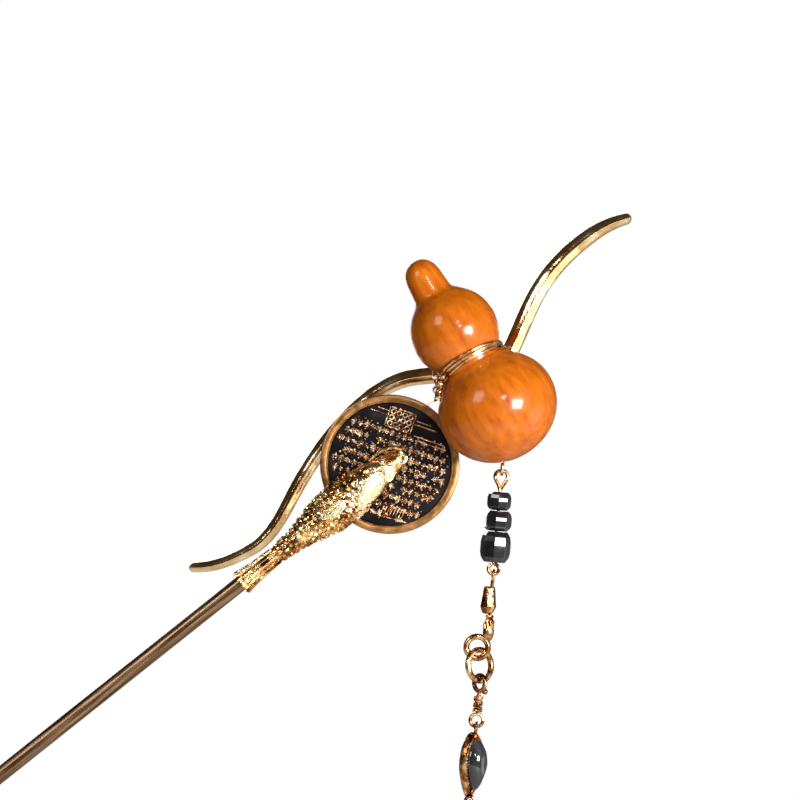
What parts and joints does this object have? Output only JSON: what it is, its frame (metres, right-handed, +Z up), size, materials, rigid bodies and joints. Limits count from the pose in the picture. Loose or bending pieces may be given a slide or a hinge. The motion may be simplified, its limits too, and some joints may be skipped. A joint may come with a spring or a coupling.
{
  "type": "decorative hair pin",
  "caption": "Long hair pin with a fish-shaped head, a dark enamelled medallion, a wave-shaped bar, a wooden gourd and a hanging jointed tassel.",
  "frame": {"origin": "on the shaft's axis at the shoulder where the rod enters the fish's tail", "axes": "+Z up as the tassel hangs, the ornament faces -Y, +X towards the raised end of the wave bar; the rod points down and to -X"},
  "size_m": [0.145, 0.0204, 0.1468],
  "materials": {
    "shaft_metal": "rose-brown plating with long polishing streaks",
    "bright_gold": "polished cast gilt",
    "rim_bronze": "satin gilt",
    "black_enamel": "satin",
    "relief_gilt": "worn gilt",
    "solder": "dull solder",
    "bar_gold": "polished, lightly hammered",
    "gourd_wood": "polished amber-orange lacquered wood",
    "wire_gold": "bright drawn wire",
    "link_gold": "polished cast gilt",
    "black_bead": "glossy cut bead",
    "black_stone": "polished cabochon"
  },
  "bodies": {
    "pin": {"shaft": "shaft_metal", "carp_casting": "bright_gold", "medallion_plate": "rim_bronze", "medallion_enamel": "black_enamel", "medallion_relief": "relief_gilt", "carp_solder": "solder", "bar_solder": "solder", "wave_bar": "bar_gold", "gourd": "gourd_wood", "waist_wire": "wire_gold", "wire_lashing": "wire_gold", "gourd_eye": "wire_gold"},
    "bead_link": {"bead_pin": "wire_gold"},
    "bead_1": {"bead_upper": "black_bead"},
    "bead_2": {"bead_middle": "black_bead"},
    "bead_3": {"bead_lower": "black_bead"},
    "barrel_link": {"barrel_wire": "wire_gold", "barrel_tube": "link_gold", "clasp_ring": "link_gold"},
    "swivel_link": {"swivel_ring": "link_gold"},
    "hook_link": {"hook_wire": "link_gold", "hook_wrap": "wire_gold", "hook_ball": "link_gold"},
    "leaf_drop": {"leaf_bezel": "bright_gold", "leaf_back": "bright_gold", "leaf_stone": "black_stone", "leaf_loops": "wire_gold"},
    "end_drop": {"end_pin": "wire_gold"},
    "bead_4": {"end_bead": "black_bead"}
  },
  "joints": [
    {"name": "tassel_swing", "type": "hinge", "parent": "pin", "child": "bead_link", "pos_m": [0.0398, 0, 0.02045], "axis": [0, 1, 0], "range_deg": [-25, 25]},
    {"name": "bead_1_spin", "type": "hinge", "parent": "bead_link", "child": "bead_1", "pos_m": [0.0398, 0, 0.016], "axis": [0, 0, 1], "continuous": true},
    {"name": "bead_2_spin", "type": "hinge", "parent": "bead_link", "child": "bead_2", "pos_m": [0.0398, 0, 0.0129], "axis": [0, 0, 1], "continuous": true},
    {"name": "bead_3_spin", "type": "hinge", "parent": "bead_link", "child": "bead_3", "pos_m": [0.0398, 0, 0.0087], "axis": [0, 0, 1], "continuous": true},
    {"name": "barrel_swing", "type": "hinge", "parent": "bead_link", "child": "barrel_link", "pos_m": [0.0398, 0, 0.00425], "axis": [1, 0, 0], "range_deg": [-40, 40]},
    {"name": "swivel_swing", "type": "hinge", "parent": "barrel_link", "child": "swivel_link", "pos_m": [0.0382, 0, -0.0077], "axis": [0, 1, 0], "range_deg": [-60, 60]},
    {"name": "hook_swing", "type": "hinge", "parent": "swivel_link", "child": "hook_link", "pos_m": [0.03909, -0.00028, -0.01302], "axis": [0.7513, 0.6599, 0], "range_deg": [-45, 45]},
    {"name": "leaf_swing", "type": "hinge", "parent": "hook_link", "child": "leaf_drop", "pos_m": [0.03909, -0.00028, -0.02045], "axis": [1, 0, 0], "range_deg": [-50, 50]},
    {"name": "end_swing", "type": "hinge", "parent": "leaf_drop", "child": "end_drop", "pos_m": [0.03909, -0.00028, -0.0331], "axis": [1, 0, 0], "range_deg": [-50, 50]},
    {"name": "end_bead_spin", "type": "hinge", "parent": "end_drop", "child": "bead_4", "pos_m": [0.03909, -0.00028, -0.038], "axis": [0, 0, 1], "continuous": true}
  ]
}
